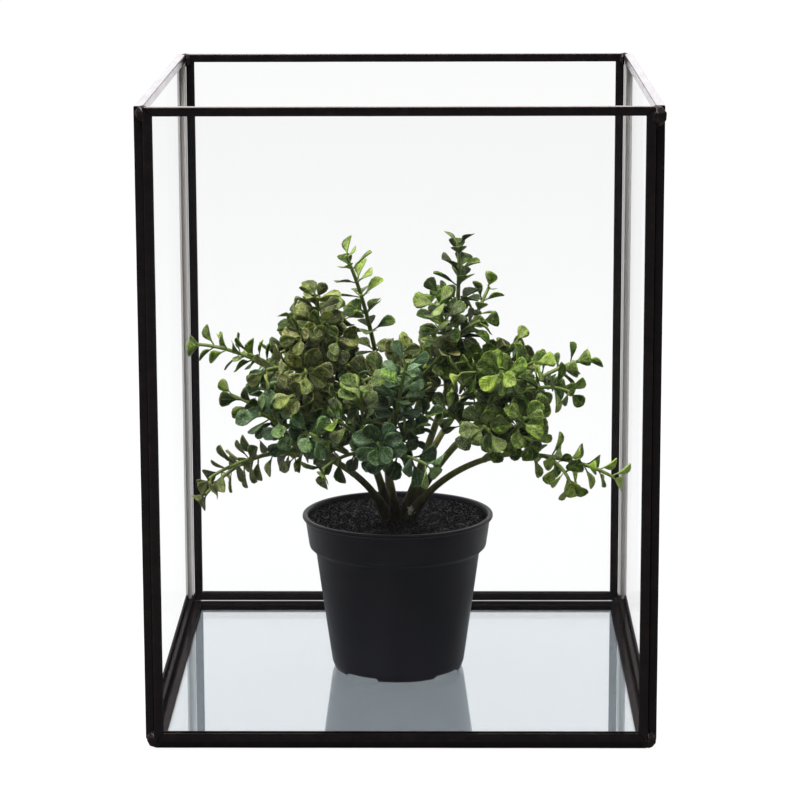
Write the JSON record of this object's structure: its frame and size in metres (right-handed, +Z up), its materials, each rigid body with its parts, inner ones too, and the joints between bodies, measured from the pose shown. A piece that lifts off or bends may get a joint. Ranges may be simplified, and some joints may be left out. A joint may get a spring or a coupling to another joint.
{
  "type": "glass plant terrarium",
  "caption": "Open-topped glass display box with black channelled edges, holding an artificial boxwood bush in a black nursery pot",
  "frame": {"origin": "the middle of the box's footprint, on the surface that it stands on", "axes": "+Z is up, -Y is the front pane, +X is to the right seen from the front"},
  "size_m": [0.2524, 0.2679, 0.3167],
  "materials": {
    "clear_glass": "clear float glass with a faint green-blue edge",
    "black_channel": "satin black patina with worn brown edges",
    "black_solder": "lumpy black patinated solder",
    "black_plastic": "matt moulded black plastic",
    "dark_soil": "glued black granules",
    "olive_stem": "matt olive-brown moulded stem",
    "blue_leaf": "soft blue-green leaf with pale frosted mottling",
    "olive_leaf": "soft olive leaf with pale frosted mottling",
    "fresh_leaf": "soft fresh green leaf with pale edges",
    "dark_leaf": "soft dark green leaf with pale frosted mottling"
  },
  "bodies": {
    "root": {"front_glass": "clear_glass", "front_channel_bottom": "black_channel", "front_channel_left": "black_channel", "front_channel_top": "black_channel", "front_channel_right": "black_channel", "back_glass": "clear_glass", "back_channel_bottom": "black_channel", "back_channel_left": "black_channel", "back_channel_top": "black_channel", "back_channel_right": "black_channel", "left_glass": "clear_glass", "left_channel_bottom": "black_channel", "left_channel_front": "black_channel", "left_channel_top": "black_channel", "left_channel_back": "black_channel", "right_glass": "clear_glass", "right_channel_bottom": "black_channel", "right_channel_front": "black_channel", "right_channel_top": "black_channel", "right_channel_back": "black_channel", "base_glass": "clear_glass", "base_channel_front": "black_channel", "base_channel_left": "black_channel", "base_channel_back": "black_channel", "base_channel_right": "black_channel", "solder_top_front_left": "black_solder", "solder_top_front_right": "black_solder", "solder_top_back_left": "black_solder", "solder_top_back_right": "black_solder", "solder_bottom_front_left": "black_solder", "solder_bottom_front_right": "black_solder", "solder_bottom_back_left": "black_solder", "solder_bottom_back_right": "black_solder", "pot": "black_plastic", "soil": "dark_soil", "stems": "olive_stem", "spray_top_centre": "dark_leaf", "spray_top_right": "fresh_leaf", "spray_top_left": "fresh_leaf", "spray_left_crown": "olive_leaf", "spray_left_shoulder": "dark_leaf", "spray_far_left": "fresh_leaf", "spray_left_middle": "olive_leaf", "spray_left_front": "olive_leaf", "spray_low_left_front": "blue_leaf", "spray_low_left": "olive_leaf", "spray_front_low": "blue_leaf", "spray_front_high": "blue_leaf", "spray_front_left": "dark_leaf", "spray_middle": "olive_leaf", "spray_crown": "dark_leaf", "spray_right_front": "fresh_leaf", "spray_right_low_front": "fresh_leaf", "spray_right_inner": "dark_leaf", "spray_far_right": "fresh_leaf", "spray_right_top": "olive_leaf", "spray_low_right": "fresh_leaf", "spray_back_left": "dark_leaf", "spray_back_middle": "olive_leaf", "spray_back_right": "blue_leaf"}
  },
  "joints": []
}
